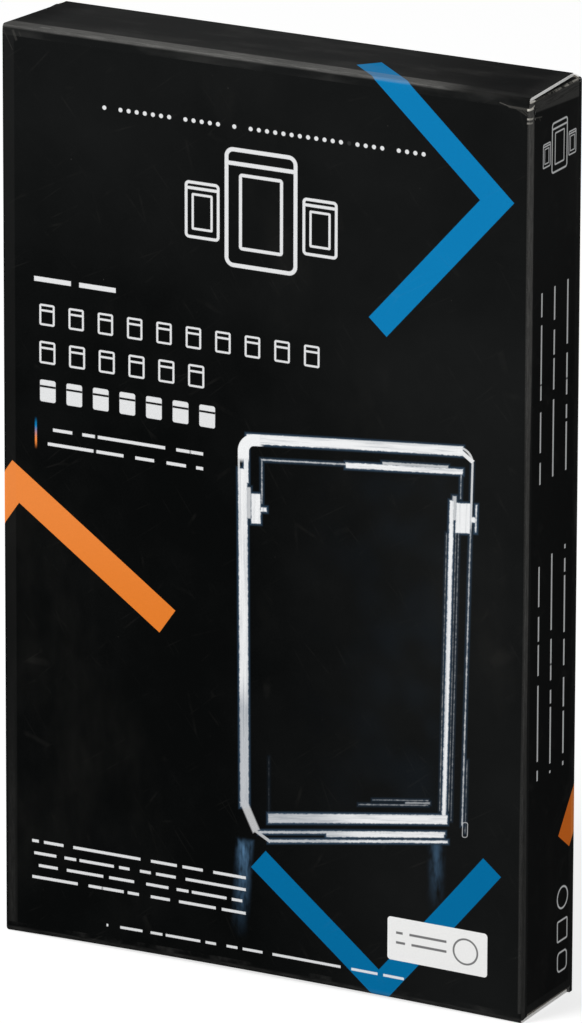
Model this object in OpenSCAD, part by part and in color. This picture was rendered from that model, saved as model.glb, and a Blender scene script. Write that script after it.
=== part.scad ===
// Tuck-end board carton with a clear two-part display case for one graded card inside.
// The origin is the middle of the bottom face. X runs across the front, Y from front to back, Z up.
// The front face looks towards -Y. Everything is drawn closed and packed.

/* [Graded card holder] */
// Width of the card holder that the case is made for
holder_w = 82; // [60:0.5:110]
// Height of the card holder
holder_h = 136; // [90:0.5:180]
// Thickness of the card holder
holder_t = 6; // [4:0.1:12]
// Play between the card holder and each wall of its pocket
holder_play = 0.5; // [0.2:0.05:1.5]

/* [Display case] */
// Width of each clear side bar
bar_w = 9; // [7.6:0.1:16]
// Height of the clear bar under the card holder
bottom_bar_h = 9.5; // [6:0.1:16]
// Height of the clear bar over the card holder
top_bar_h = 9.5; // [6:0.1:16]
// Thickness of the front and back plates
plate_t = 5.7; // [3:0.1:9]
// Height of the lift-off lid of the case
case_lid_h = 30; // [20:0.5:60]
// Gap between the base and the lid of the case at their seam
seam_gap = 0.2; // [0.05:0.05:0.5]
// Radius of the four outer corners of the case, seen from the front
case_corner_r = 4.5; // [1:0.1:5.8]
// Diameter of a magnet
magnet_d = 6; // [3:0.1:7]
// Length of a magnet
magnet_l = 6; // [3:0.1:10]
// Play round a magnet in its bore
magnet_play = 0.05; // [0.02:0.01:0.2]

/* [Room in the carton] */
// Gap beside the case on each side
side_gap = 4.4; // [2:0.1:12]
// Gap between the case and the front panel
front_gap = 0.35; // [0.3:0.05:3]
// Gap between the case and a tongue
tongue_gap = 0.65; // [0.4:0.05:3]
// Gap under the case
rest_gap = 0.3; // [0.1:0.05:1]
// Empty height between the case and the top dust flaps
headroom = 21; // [16:0.5:60]

/* [Carton board] */
// Thickness of the board
board_t = 0.6; // [0.4:0.05:0.8]
// Outside radius of the upright folds
fold_r = 1.2; // [0.9:0.05:1.6]
// Gap between two boards that lie on each other
stack_gap = 0.15; // [0.05:0.05:0.4]
// Gap that a fold leaves between two panels
fold_gap = 0.1; // [0.05:0.05:0.3]
// Gap between a tongue and the back panel
back_gap = 0.6; // [0.5:0.05:2]
// Distance from the top of the carton down to the raw edge of the back panel
edge_drop = 0.5; // [0.1:0.1:2]

/* [Tuck lids] */
// Distance from each side of the carton to the raw side edge of a lid
lid_inset = 1.5; // [1.3:0.1:3]
// Length of a tongue below its fold
tongue_len = 10; // [6:0.5:11]
// Distance from each side of the carton to the side edge of a tongue
tongue_inset = 3; // [2.5:0.1:12]
// Radius of the two free corners of a tongue
tongue_r = 5; // [1:0.5:5.5]
// Angle that the top tongue leans inwards at rest
top_tongue_lean = 5; // [4:0.5:10]

/* [Dust flaps] */
// Length of a dust flap from its fold
flap_len = 14; // [8:0.5:18]
// Distance from the front face to the front end of a flap's fold
flap_front = 2.2; // [2:0.1:4]
// Distance from a tongue to the back end of a flap's fold
flap_back = 1; // [0.6:0.1:3]
// How far the front edge of a flap draws in per unit of its length
flap_front_taper = 0.6; // [0.5:0.02:0.62]
// How far the back edge of a flap draws in per unit of its length
flap_back_taper = 0.2; // [0.1:0.02:0.22]

/* [Glue flap] */
// Width of the glued strip inside the left panel
glue_w = 14; // [8:0.5:16]
// Distance from each end of the carton to the glued strip
glue_end = 5; // [3:0.5:30]
// Distance that the strip's free edge is cut back at each end
glue_taper = 4; // [1:0.5:8]

/* [Hidden] */
$fn = 64;

board_black = [0.05, 0.052, 0.055];
acrylic_clear = [0.85, 0.92, 0.96, 0.35];
magnet_silver = [0.75, 0.76, 0.78];

// The case, from the card holder outwards
pocket_w = holder_w + 2 * holder_play;
pocket_t = holder_t + 2 * holder_play;
pocket_h = holder_h + 2 * holder_play;
case_w = pocket_w + 2 * bar_w;
case_d = pocket_t + 2 * plate_t;
case_h = bottom_bar_h + pocket_h + top_bar_h;

// The carton, from the case outwards
stack_h = 2 * board_t + stack_gap;
carton_w = case_w + 2 * (side_gap + board_t);
carton_d = front_gap + case_d + tongue_gap + back_gap + 3 * board_t;
carton_h = 2 * stack_h + rest_gap + case_h + headroom;

// Faces of the carton
front_y = -carton_d / 2;
back_inner_y = carton_d / 2 - board_t;
tongue_y = back_inner_y - back_gap - board_t;

// Places of the case
case_front_y = front_y + board_t + front_gap;
case_mid_y = case_front_y + case_d / 2;
case_z = stack_h + rest_gap;
case_top_z = case_z + case_h;
seam_z = case_top_z - case_lid_h;
pocket_z = case_z + bottom_bar_h;
bar_x = (pocket_w + bar_w) / 2;

// Dust flap outline, measured from its fold
flap_root = tongue_y - flap_back - front_y - flap_front;

// The four walls as one ring, seen from above.
module rounded_box_outline(w, d, r) {
    square([w - 2 * r, d], center = true);
    square([w, d - 2 * r], center = true);
    for (x = [-1, 1], y = [-1, 1])
        translate([x * (w / 2 - r), y * (d / 2 - r)])
            circle(r);
}

module wall_ring() {
    difference() {
        rounded_box_outline(carton_w, carton_d, fold_r);
        rounded_box_outline(carton_w - 2 * board_t, carton_d - 2 * board_t, fold_r - board_t);
    }
}

// The part of the ring that belongs to one broad panel, cut at the middle of its folds. side is -1 for the front.
module broad_wall(side) {
    intersection() {
        wall_ring();
        polygon([
            [-carton_w / 2, side * carton_d / 2],
            [carton_w / 2, side * carton_d / 2],
            [carton_w / 2 - fold_r, side * (carton_d / 2 - fold_r)],
            [-carton_w / 2 + fold_r, side * (carton_d / 2 - fold_r)]
        ]);
    }
}

// The part of the ring that belongs to one narrow panel. side is -1 for the left.
module narrow_wall(side) {
    intersection() {
        wall_ring();
        polygon([
            [side * carton_w / 2, -carton_d / 2],
            [side * (carton_w / 2 - fold_r), -carton_d / 2 + fold_r],
            [side * (carton_w / 2 - fold_r), carton_d / 2 - fold_r],
            [side * carton_w / 2, carton_d / 2]
        ]);
    }
}

module upright(z0, z1) {
    translate([0, 0, z0])
        linear_extrude(z1 - z0)
            children();
}

// The front panel stops one fold short of the lids that hang on it.
module front_panel() {
    color(board_black)
        upright(board_t + fold_gap, carton_h - board_t - fold_gap)
            broad_wall(-1);
}

// The back panel has raw edges at both ends, and stands on the lower one.
module back_panel() {
    color(board_black)
        upright(0, carton_h - edge_drop)
            broad_wall(1);
}

module side_panel(side) {
    color(board_black)
        upright(stack_h + fold_gap, carton_h - stack_h - fold_gap)
            narrow_wall(side);
}

// A strip folded off the back panel and glued to the inside of the left one.
module glue_flap() {
    color(board_black)
        translate([-carton_w / 2 + board_t, carton_d / 2 - fold_r, 0])
            rotate([90, 0, 90])
                linear_extrude(board_t)
                    polygon([
                        [0, glue_end],
                        [-glue_w, glue_end + glue_taper],
                        [-glue_w, carton_h - glue_end - glue_taper],
                        [0, carton_h - glue_end]
                    ]);
}

// A lid that closes one end, drawn lying at height z.
module lid_panel(z) {
    color(board_black)
        translate([-carton_w / 2 + lid_inset, front_y, z])
            cube([carton_w - 2 * lid_inset, tongue_y + board_t - front_y, board_t]);
}

// A tongue seen from the front, hanging down from its fold, with two rounded free corners.
module tongue_outline() {
    w = carton_w - 2 * tongue_inset;
    translate([-w / 2, -tongue_len + tongue_r])
        square([w, tongue_len - tongue_r - fold_gap]);
    translate([-w / 2 + tongue_r, -tongue_len])
        square([w - 2 * tongue_r, tongue_r]);
    for (x = [-1, 1])
        translate([x * (w / 2 - tongue_r), -tongue_len + tongue_r])
            circle(tongue_r);
}

// The tongue that hangs from the fold on the inside of a lid, leaning in by an angle.
module tongue(lean) {
    color(board_black)
        rotate([-lean, 0, 0])
            rotate([90, 0, 0])
                translate([0, 0, -board_t])
                    linear_extrude(board_t)
                        tongue_outline();
}

module top_tuck_tongue() {
    translate([0, tongue_y, carton_h - board_t])
        tongue(top_tongue_lean);
}

module bottom_tuck_tongue() {
    translate([0, tongue_y, board_t])
        mirror([0, 0, 1])
            tongue(0);
}

// A dust flap on the right, drawn with its lower face at height z. The lid opens at its front edge.
module dust_flap_right(z) {
    x0 = carton_w / 2;
    y0 = front_y + flap_front;
    x1 = x0 - flap_len;
    color(board_black)
        translate([0, 0, z])
            linear_extrude(board_t)
                polygon([
                    [x0, y0],
                    [x0, y0 + flap_root],
                    [x1, y0 + flap_root - flap_back_taper * flap_len],
                    [x1, y0 + flap_front_taper * flap_len]
                ]);
}

module top_dust_flap_right() {
    dust_flap_right(carton_h - stack_h);
}

module top_dust_flap_left() {
    mirror([1, 0, 0])
        top_dust_flap_right();
}

module bottom_dust_flap_right() {
    dust_flap_right(board_t + stack_gap);
}

module bottom_dust_flap_left() {
    mirror([1, 0, 0])
        bottom_dust_flap_right();
}

// A clear block, given by its middle in X and its lowest corner in Y and Z.
module clear_block(x, y, z, w, d, h) {
    color(acrylic_clear)
        translate([x - w / 2, y, z])
            cube([w, d, h]);
}

// The bar that closes the end of the case, with two rounded outer corners below.
module end_bar(h) {
    color(acrylic_clear)
        translate([0, case_front_y + case_d, 0])
            rotate([90, 0, 0])
                linear_extrude(case_d) {
                    translate([-case_w / 2, case_corner_r])
                        square([case_w, h - case_corner_r]);
                    translate([-case_w / 2 + case_corner_r, 0])
                        square([case_w - 2 * case_corner_r, case_corner_r]);
                    for (x = [-1, 1])
                        translate([x * (case_w / 2 - case_corner_r), case_corner_r])
                            circle(case_corner_r);
                }
}

module base_bottom_bar() {
    translate([0, 0, case_z])
        end_bar(bottom_bar_h);
}

module lid_top_bar() {
    translate([0, 0, case_top_z])
        mirror([0, 0, 1])
            end_bar(top_bar_h);
}

// A magnet's blind bore, and the magnet itself with no play.
module magnet_shape(side, z, play) {
    translate([side * bar_x, case_mid_y, z])
        cylinder(d = magnet_d + 2 * play, h = magnet_l);
}

// Side bars stand between an end bar and the seam, bored for a magnet at the seam.
module base_bar(side) {
    difference() {
        clear_block(side * bar_x, case_front_y, pocket_z, bar_w, case_d, seam_z - pocket_z);
        magnet_shape(side, seam_z - magnet_l, magnet_play);
    }
}

module lid_bar(side) {
    z0 = seam_z + seam_gap;
    difference() {
        clear_block(side * bar_x, case_front_y, z0, bar_w, case_d, case_top_z - top_bar_h - z0);
        magnet_shape(side, z0, magnet_play);
    }
}

// Front and back plates fit between the side bars.
module base_plate(y) {
    clear_block(0, y, pocket_z, pocket_w, plate_t, seam_z - pocket_z);
}

module lid_plate(y) {
    z0 = seam_z + seam_gap;
    clear_block(0, y, z0, pocket_w, plate_t, case_top_z - top_bar_h - z0);
}

module base_magnet(side) {
    color(magnet_silver)
        magnet_shape(side, seam_z - magnet_l, 0);
}

module lid_magnet(side) {
    color(magnet_silver)
        magnet_shape(side, seam_z + seam_gap, 0);
}

front_panel();
back_panel();
side_panel(-1);  // left_side_panel
side_panel(1);  // right_side_panel
glue_flap();
lid_panel(carton_h - board_t);  // top_lid_panel
top_tuck_tongue();
top_dust_flap_left();
top_dust_flap_right();
lid_panel(0);  // bottom_lid_panel
bottom_tuck_tongue();
bottom_dust_flap_left();
bottom_dust_flap_right();
base_bottom_bar();
base_bar(-1);  // base_left_bar
base_bar(1);  // base_right_bar
base_plate(case_front_y);  // base_front_plate
base_plate(case_front_y + case_d - plate_t);  // base_back_plate
base_magnet(-1);  // base_magnet_left
base_magnet(1);  // base_magnet_right
lid_top_bar();
lid_bar(-1);  // lid_left_bar
lid_bar(1);  // lid_right_bar
lid_plate(case_front_y);  // lid_front_plate
lid_plate(case_front_y + case_d - plate_t);  // lid_back_plate
lid_magnet(-1);  // lid_magnet_left
lid_magnet(1);  // lid_magnet_right
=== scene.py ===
import math
import bmesh
import bpy
import numpy as np
from mathutils import Matrix, Vector


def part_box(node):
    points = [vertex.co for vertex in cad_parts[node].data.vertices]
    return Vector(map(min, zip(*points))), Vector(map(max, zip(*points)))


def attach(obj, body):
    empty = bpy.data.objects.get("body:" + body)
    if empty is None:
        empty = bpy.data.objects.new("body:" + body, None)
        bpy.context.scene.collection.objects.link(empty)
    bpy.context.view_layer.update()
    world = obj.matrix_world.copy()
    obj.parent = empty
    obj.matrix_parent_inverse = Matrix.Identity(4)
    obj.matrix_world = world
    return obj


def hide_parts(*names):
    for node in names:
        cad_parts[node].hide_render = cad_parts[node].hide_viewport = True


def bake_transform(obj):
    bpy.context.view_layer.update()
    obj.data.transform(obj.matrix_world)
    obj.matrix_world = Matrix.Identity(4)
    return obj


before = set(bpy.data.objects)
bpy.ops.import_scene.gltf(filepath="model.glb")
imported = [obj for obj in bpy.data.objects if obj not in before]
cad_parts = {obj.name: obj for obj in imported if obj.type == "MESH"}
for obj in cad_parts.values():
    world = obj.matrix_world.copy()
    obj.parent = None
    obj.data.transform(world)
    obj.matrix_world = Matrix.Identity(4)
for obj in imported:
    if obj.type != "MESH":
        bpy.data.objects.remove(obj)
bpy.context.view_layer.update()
print("frame loaded")

scene = bpy.context.scene
scene.view_settings.view_transform = "Standard"
mm = 0.001
white = (1.0, 1.0, 1.0, 1.0)

# The camera looks from the carton's front right, a little above it
camera = {
    "azimuth": 27.89,
    "elevation": 17.553,
    "roll": 0.18,
    "place": (0.9612, -1.81522, 0.73926),
    "lens": 402.8,
    "sensor": 36.0,
}


def makeCamera(c):
    az, el, roll = (math.radians(c[k]) for k in ("azimuth", "elevation", "roll"))
    back = np.array([math.sin(az) * math.cos(el), -math.cos(az) * math.cos(el), math.sin(el)])
    right = np.array([math.cos(az), math.sin(az), 0.0])
    up = np.cross(back, right)
    turnedRight = math.cos(roll) * right + math.sin(roll) * up
    turnedUp = -math.sin(roll) * right + math.cos(roll) * up
    data = bpy.data.cameras.new("camera")
    data.lens = c["lens"]
    data.sensor_width = c["sensor"]
    data.clip_start = 0.05
    data.clip_end = 50.0
    made = bpy.data.objects.new("camera", data)
    scene.collection.objects.link(made)
    turn = np.array([turnedRight, turnedUp, back]).T
    place = Matrix.Translation(c["place"]) @ Matrix(turn.tolist()).to_4x4()
    made.matrix_world = place
    scene.camera = made


makeCamera(camera)
print("camera placed")


# One socket on its way through a material, so that masks can be written as sums
class Ink:
    def __init__(self, tree, socket):
        self.tree = tree
        self.socket = socket

    def put(self, kind, settings, values, out=0):
        made = self.tree.nodes.new("ShaderNode" + kind)
        for name, value in settings.items():
            if name == "stops":
                for spot, (place, colour) in enumerate(value):
                    ramp = made.color_ramp.elements
                    step = ramp[spot] if spot < 2 else ramp.new(place)
                    step.position = place
                    step.color = colour
            else:
                setattr(made, name, value)
        for key, value in values.items():
            if isinstance(value, Ink):
                self.tree.links.new(value.socket, made.inputs[key])
            else:
                made.inputs[key].default_value = value
        return Ink(self.tree, made.outputs[out])

    def calc(self, operation, *others):
        return self.put("Math", {"operation": operation}, dict(enumerate((self,) + others)))

    def __add__(self, other):
        return self.calc("ADD", other)

    def __sub__(self, other):
        return self.calc("SUBTRACT", other)

    def __rsub__(self, other):
        return self.put("Math", {"operation": "SUBTRACT"}, {0: other, 1: self})

    def __mul__(self, other):
        return self.calc("MULTIPLY", other)

    def __truediv__(self, other):
        return self.calc("DIVIDE", other)

    def __neg__(self):
        return self.calc("MULTIPLY", -1.0)

    __radd__ = __add__
    __rmul__ = __mul__

    # Vectors and colours
    def moved(self, by):
        return self.put("VectorMath", {"operation": "ADD"}, {0: self, 1: by})

    def scaled(self, by):
        return self.put("VectorMath", {"operation": "MULTIPLY"}, {0: self, 1: by})

    def along(self, way):
        return self.put("VectorMath", {"operation": "DOT_PRODUCT"}, {0: self, 1: way}, "Value")

    def over(self, under, mask):
        mix = {"data_type": "RGBA"}
        return self.put("Mix", mix, {0: mask, 6: under, 7: self}, 2)


def lesser(a, b):
    return a.calc("MINIMUM", b)


def greater(a, b):
    return a.calc("MAXIMUM", b)


def rise(x, low, high, top=1.0):
    # A smooth step holds its own ends, and a clamp on every step would fill the shader's memory
    settings = {"interpolation_type": "SMOOTHSTEP", "clamp": False}
    return x.put("MapRange", settings, {0: x, 1: low, 2: high, 3: 0.0, 4: top})


def within(distance, soft=0.07):
    return rise(distance, -soft, soft)


def cloud(p, scale, detail=2.0, rough=0.5, stretch=None):
    where = p.scaled(stretch) if stretch else p
    values = {"Vector": where, "Scale": scale, "Detail": detail, "Roughness": rough}
    return p.put("TexNoise", {}, values)


def newMaterial(name):
    made = bpy.data.materials.new(name)
    made.use_nodes = True
    tree = made.node_tree
    shader = tree.nodes["Principled BSDF"]
    return made, tree, shader


def sheetPlace(tree):
    here = tree.nodes.new("ShaderNodeAttribute")
    here.attribute_name = "sheet"
    return Ink(tree, here.outputs["Vector"])


def objectPlace(tree, scale=1000.0):
    here = tree.nodes.new("ShaderNodeTexCoord")
    return Ink(tree, here.outputs["Object"]).scaled((scale, scale, scale))


def feed(shader, **links):
    for name, value in links.items():
        socket = shader.inputs[name.replace("_", " ")]
        if isinstance(value, Ink):
            value.tree.links.new(value.socket, socket)
        else:
            socket.default_value = value


def grey(level):
    return (level, level, level, 1.0)


def fromScreen(red, green, blue):
    values = []
    for c in (red, green, blue):
        c = c / 255.0
        values.append(c / 12.92 if c < 0.04045 else ((c + 0.055) / 1.055) ** 2.4)
    return (values[0], values[1], values[2], 1.0)


# White room, pale floor and two soft lamps
studio = {
    "roomOnSurfaces": 0.40,
    "floorHalf": 4.0,
    "floorGap": 0.00004,
    "floorColour": 0.46,
    "floorGlow": 0.69,
    "lookAt": (0.0, 0.0, 0.09),
    "lamps": {
        "keyLamp": {"place": (-0.80, -1.30, 1.00), "size": 0.9, "power": 26.5},
        "fillLamp": {"place": (1.30, -0.60, 0.90), "size": 1.0, "power": 3.0},
    },
}


def seenRays(tree):
    # One for what the camera sees, straight or in a reflection or through the clear case
    path = tree.nodes.new("ShaderNodeLightPath")
    rays = [Ink(tree, path.outputs[n]) for n in ("Is Camera Ray", "Is Glossy Ray", "Is Transmission Ray")]
    return lesser(rays[0] + rays[1] + rays[2], 1.0)


def makeRoom(s):
    world = bpy.data.worlds.new("room")
    scene.world = world
    world.use_nodes = True
    tree = world.node_tree
    tree.nodes.clear()
    seen = seenRays(tree)
    strength = seen * (1.0 - s["roomOnSurfaces"]) + s["roomOnSurfaces"]
    light = strength.put("Background", {}, {"Color": white, "Strength": strength})
    end = tree.nodes.new("ShaderNodeOutputWorld")
    tree.links.new(light.socket, end.inputs["Surface"])

    floorMaterial, tree, shader = newMaterial("pale_floor")
    seen = seenRays(tree)
    feed(shader, Base_Color=grey(s["floorColour"]), Roughness=1.0, Specular_IOR_Level=0.0)
    feed(shader, Emission_Color=white, Emission_Strength=seen * s["floorGlow"])
    clear = seen.put("BsdfTransparent", {}, {"Color": white})
    facing = tree.nodes.new("ShaderNodeNewGeometry")
    values = {0: Ink(tree, facing.outputs["Backfacing"]), 1: Ink(tree, shader.outputs[0]), 2: clear}
    both = seen.put("MixShader", {}, values)
    tree.links.new(both.socket, tree.nodes["Material Output"].inputs["Surface"])
    half, down = s["floorHalf"], -s["floorGap"]
    mesh = bpy.data.meshes.new("floor")
    corners = [(-half, -half, down), (half, -half, down), (half, half, down), (-half, half, down)]
    mesh.from_pydata(corners, [], [(0, 1, 2, 3)])
    mesh.materials.append(floorMaterial)
    floor = bpy.data.objects.new("floor", mesh)
    scene.collection.objects.link(floor)

    for name, lamp in s["lamps"].items():
        data = bpy.data.lights.new(name, "AREA")
        data.shape = "DISK"
        data.size = lamp["size"]
        data.energy = lamp["power"]
        made = bpy.data.objects.new(name, data)
        scene.collection.objects.link(made)
        made.location = lamp["place"]
        made.rotation_mode = "QUATERNION"
        made.rotation_quaternion = (Vector(s["lookAt"]) - Vector(lamp["place"])).to_track_quat("-Z", "Y")


makeRoom(studio)
print("room, floor and lamps made")

# Carton sizes in millimetres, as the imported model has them
carton = {
    "halfWide": 55.5,
    "halfDeep": 10.9,
    "high": 180.0,
    "board": 0.6,
    "foldRadius": 0.75,
    "frontTab": 8.7,
    "rearTab": 9.2,
    "lidFrom": 178.0,
    "lidRadius": 0.7,
    "lidRearFace": 9.85,
    "lidSheetEdge": 55.35,
    "lidRearHalves": {"top": (52.7, 54.3), "bottom": (55.0, 55.0)},
    "tongueRadius": 0.7,
    "tongueLong": 9.2,
    "tongueHalf": 52.5,
    "tongueCorner": 5.0,
    "topLean": 5.0,
}
flatHalf = carton["halfWide"] - carton["foldRadius"]
sideLong = 2 * (carton["halfDeep"] - carton["foldRadius"])
arcLong = carton["foldRadius"] * math.pi / 2
sideStart = flatHalf + arcLong
sideMiddle = sideStart + sideLong / 2
backStart = sideStart + sideLong + arcLong
girth = 2 * (backStart + flatHalf)
seamFront = sideMiddle - carton["frontTab"]
seamBack = sideMiddle + carton["rearTab"]


def follow(start, heading, legs, s):
    # Points and headings at the distances s along straight legs (length, 0) and bends (radius, turn)
    points = np.zeros((len(s), 2))
    angles = np.zeros(len(s))
    here = np.array(start, float)
    done = 0.0
    for spot, (size, turn) in enumerate(legs):
        length = size * abs(turn) if turn else size
        first, last = spot == 0, spot == len(legs) - 1
        mine = ((s >= done) | first) & ((s < done + length) | last)
        for t, chosen in ((s[mine] - done, mine), (np.array([length]), None)):
            if turn:
                side = 1.0 if turn > 0 else -1.0
                bend = heading + side * t / size
                middle = here + size * side * np.array([-math.sin(heading), math.cos(heading)])
                at = middle - size * side * np.stack([-np.sin(bend), np.cos(bend)], 1)
            else:
                bend = heading + 0 * t
                at = here + t[:, None] * np.array([math.cos(heading), math.sin(heading)])
            if chosen is None:
                here, heading = at[0], float(bend[0])
            else:
                points[chosen], angles[chosen] = at, bend
        done += length
    return points, angles


def onGirth(u):
    # Outer face of the four upright panels; u is the distance from the front's middle line
    quarter = math.pi / 2
    fold = (carton["foldRadius"], quarter)
    legs = [(flatHalf, 0), fold, (sideLong, 0), fold, (2 * flatHalf, 0), fold, (sideLong, 0), fold, (flatHalf, 0)]
    wrapped = np.mod(u + girth / 2, girth)
    points, angles = follow((0.0, carton["halfDeep"]), math.pi, legs, wrapped)
    outward = np.stack([np.sin(angles), -np.cos(angles)], 1)
    return points, outward


def smooth(x, low, high):
    t = np.clip((x - low) / (high - low), 0.0, 1.0)
    return t * t * (3 - 2 * t)


def lift(x):
    return np.clip(1 - x * x, 0.0, 1.0)


# Creases and dents of the crushed corner, in sheet millimetres: from, to, half width, depth
dents = [
    ((49.3, 178.9), (52.6, 178.55), 0.32, 0.14),
    ((52.6, 178.55), (55.6, 178.40), 0.34, 0.26),
    ((55.6, 178.40), (59.4, 178.25), 0.36, 0.20),
    ((53.2, 178.0), (55.3, 177.1), 0.30, 0.07),
    ((54.7, 177.2), (57.6, 177.0), 0.34, 0.15),
    ((54.8, 175.85), (57.4, 175.65), 0.24, 0.09),
    ((54.9, 174.9), (56.6, 174.8), 0.22, 0.06),
    ((-55.2, 179.2), (-53.1, 175.2), 0.30, 0.06),
    ((-53.0, 178.8), (-52.2, 177.4), 0.35, 0.06),
]


def dentDepth(u, v):
    depth = np.zeros(len(u))
    for (u0, v0), (u1, v1), wide, deep in dents:
        du, dv = u1 - u0, v1 - v0
        t = np.clip(((u - u0) * du + (v - v0) * dv) / (du * du + dv * dv), 0, 1)
        away = np.hypot(u - u0 - t * du, v - v0 - t * dv)
        depth += deep * np.exp(-((away / wide) ** 2)) * (1 - (2 * t - 1) ** 6 * 0.5)
    return depth


def settle(p):
    # The small sags and bows of a handled carton, all of them inwards
    x, y, z = p[:, 0].copy(), p[:, 1].copy(), p[:, 2].copy()
    wide, deep, high = carton["halfWide"], carton["halfDeep"], carton["high"]
    across = lift(x / wide)
    moved = p.copy()
    front = smooth(-y, deep - 2.5, deep - 0.7)
    rear = smooth(y, deep - 2.5, deep - 0.7)
    inFace = across * lift((z - high / 2) / (high / 2 - 1.0))
    ripple = 0.5 + 0.5 * np.sin(x / 17.0 + 0.8) * np.sin(z / 31.0 + 1.9)
    moved[:, 1] += front * inFace * (0.10 + 0.12 * ripple)
    moved[:, 1] -= rear * inFace * (0.14 + 0.10 * ripple)
    sides = smooth(np.abs(x), wide - 2.5, wide - 0.7) * lift(y / deep) * lift((z - high / 2) / (high / 2 - 4.0))
    moved[:, 0] -= np.sign(x) * sides * 0.16
    foot = 1 - smooth(z, 0.0, 26.0)
    moved[:, 2] += foot * across * (1 - smooth(y, -6.0, 9.0)) * 0.60
    return moved


def cleanName(node):
    parts = node.split("_")
    return parts[0] + "".join(w.capitalize() for w in parts[1:])


def boardShell(node, us, vs, place, keep=None, finishes=()):
    # A bent sheet of board: outer face, inner face and raw rim, on a grid of sheet places
    uu, vv = (g.ravel() for g in np.meshgrid(us, vs))
    points, outward, sheet = place(uu, vv)
    thick = carton["board"]
    outer = points - outward * dentDepth(sheet[:, 0], sheet[:, 1])[:, None]
    inner = outer - outward * thick
    layers = np.concatenate([settle(outer), settle(inner)])
    many = len(uu)
    across = len(us)
    faces, kinds = [], []
    edges = {}
    for j in range(len(vs) - 1):
        for i in range(across - 1):
            if keep and not keep((us[i] + us[i + 1]) / 2, (vs[j] + vs[j + 1]) / 2):
                continue
            a, b = j * across + i, j * across + i + 1
            ring = (a, b, b + across, a + across)
            faces.append(ring)
            kinds.append(0)
            faces.append(tuple(k + many for k in reversed(ring)))
            kinds.append(1)
            for k in range(4):
                one, two = ring[k], ring[(k + 1) % 4]
                if (two, one) in edges:
                    del edges[(two, one)]
                else:
                    edges[(one, two)] = True
    for one, two in edges:
        faces.append((two, one, one + many, two + many))
        kinds.append(2)
    used = sorted({k for f in faces for k in f})
    fresh = {k: n for n, k in enumerate(used)}
    mesh = bpy.data.meshes.new(cleanName(node))
    mesh.from_pydata((layers[used] * mm).tolist(), [], [tuple(fresh[k] for k in f) for f in faces])
    mesh.polygons.foreach_set("material_index", kinds)
    both = np.concatenate([sheet, sheet])[used]
    spots = np.zeros((len(used), 3), np.float32)
    spots[:, :2] = both
    spots[:, 2] = np.array(used) >= many
    mesh.attributes.new("sheet", "FLOAT_VECTOR", "POINT").data.foreach_set("vector", spots.ravel())
    work = bmesh.new()
    work.from_mesh(mesh)
    bmesh.ops.recalc_face_normals(work, faces=work.faces)
    work.to_mesh(mesh)
    work.free()
    mesh.shade_smooth()
    mesh.set_sharp_from_angle(angle=math.radians(42))
    for finish in finishes:
        mesh.materials.append(finish)
    piece = bpy.data.objects.new(cleanName(node), mesh)
    scene.collection.objects.link(piece)
    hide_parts(node)
    return piece


def spaced(*stops):
    # Grid lines: a start, then pairs of an end and a spacing
    lines = [stops[0]]
    for end, step in zip(stops[1::2], stops[2::2]):
        count = max(1, round(abs(end - lines[-1]) / step))
        lines += list(np.linspace(lines[-1], end, count + 1)[1:])
    return np.array(lines)


def mirrored(lines):
    return np.concatenate([-lines[::-1][:-1] if lines[0] == 0 else -lines[::-1], lines])


# The film's printed black and its inks, as they look on screen under even light
inks = {
    "deepBlack": fromScreen(8, 9, 9),
    "softBlack": fromScreen(26, 27, 27),
    "blue": fromScreen(14, 122, 179),
    "lowBlue": fromScreen(6, 108, 160),
    "orange": fromScreen(234, 134, 62),
    "lowOrange": fromScreen(227, 125, 46),
    "sideOrange": fromScreen(230, 118, 40),
    "white": fromScreen(240, 241, 242),
    "tint": fromScreen(112, 158, 200),
    # Grey of worn film, also laid as painted light on folds, bends and the lid's top
    "rub": fromScreen(150, 149, 146),
    "bare": fromScreen(226, 222, 212),
    "label": fromScreen(242, 242, 241),
    "labelGrey": fromScreen(70, 70, 72),
}

# Bent stripes on the unrolled carton: tip, directions of both arms in degrees, width, arm lengths
stripes = {
    "upperBlue": ((52.4, 159.8), 137.6, 228.2, 5.0, 43.9, 39.4),
    "sideOrange": ((-53.5, 94.7), -35.05, -125.05, 5.9, 42.8, 34.0),
    "lowerBlue": ((25.95, -1.58), 140.4, 50.3, 4.9, 36.4, 39.1),
    "rearOrange": ((91.4, 61.8), 233.6, 323.6, 5.6, 36.0, 40.0),
}


def bentStripe(p, name):
    tip, angleA, angleB, wide, longA, longB = stripes[name]
    here = p.moved((-tip[0], -tip[1], 0.0))
    ways = []
    for angle in (angleA, angleB):
        angle = math.radians(angle)
        ways.append((math.cos(angle), math.sin(angle), 0.0))
    sides = []
    for one, two in ((0, 1), (1, 0)):
        side = (-ways[one][1], ways[one][0], 0.0)
        turn = side[0] * ways[two][0] + side[1] * ways[two][1]
        sides.append(tuple(math.copysign(1.0, turn) * k for k in side))
    nearest = lesser(here.along(sides[0]), here.along(sides[1]))
    inside = lesser(nearest, wide - nearest)
    inside = lesser(inside, longA - here.along(ways[0]))
    inside = lesser(inside, longB - here.along(ways[1]))
    return within(inside)


def box(p, low, high):
    # Distance inside a level box, positive within it
    u, v = parts(p)
    left = (high[0] - low[0]) / 2 - (u - (low[0] + high[0]) / 2).calc("ABSOLUTE")
    below = (high[1] - low[1]) / 2 - (v - (low[1] + high[1]) / 2).calc("ABSOLUTE")
    return lesser(left, below)


def parts(p):
    # The two coordinates of a place; a pair of them is passed on, because each split costs shader memory
    if isinstance(p, tuple):
        return p
    split = p.tree.nodes.new("ShaderNodeSeparateXYZ")
    p.tree.links.new(p.socket, split.inputs[0])
    return Ink(p.tree, split.outputs[0]), Ink(p.tree, split.outputs[1])


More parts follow.
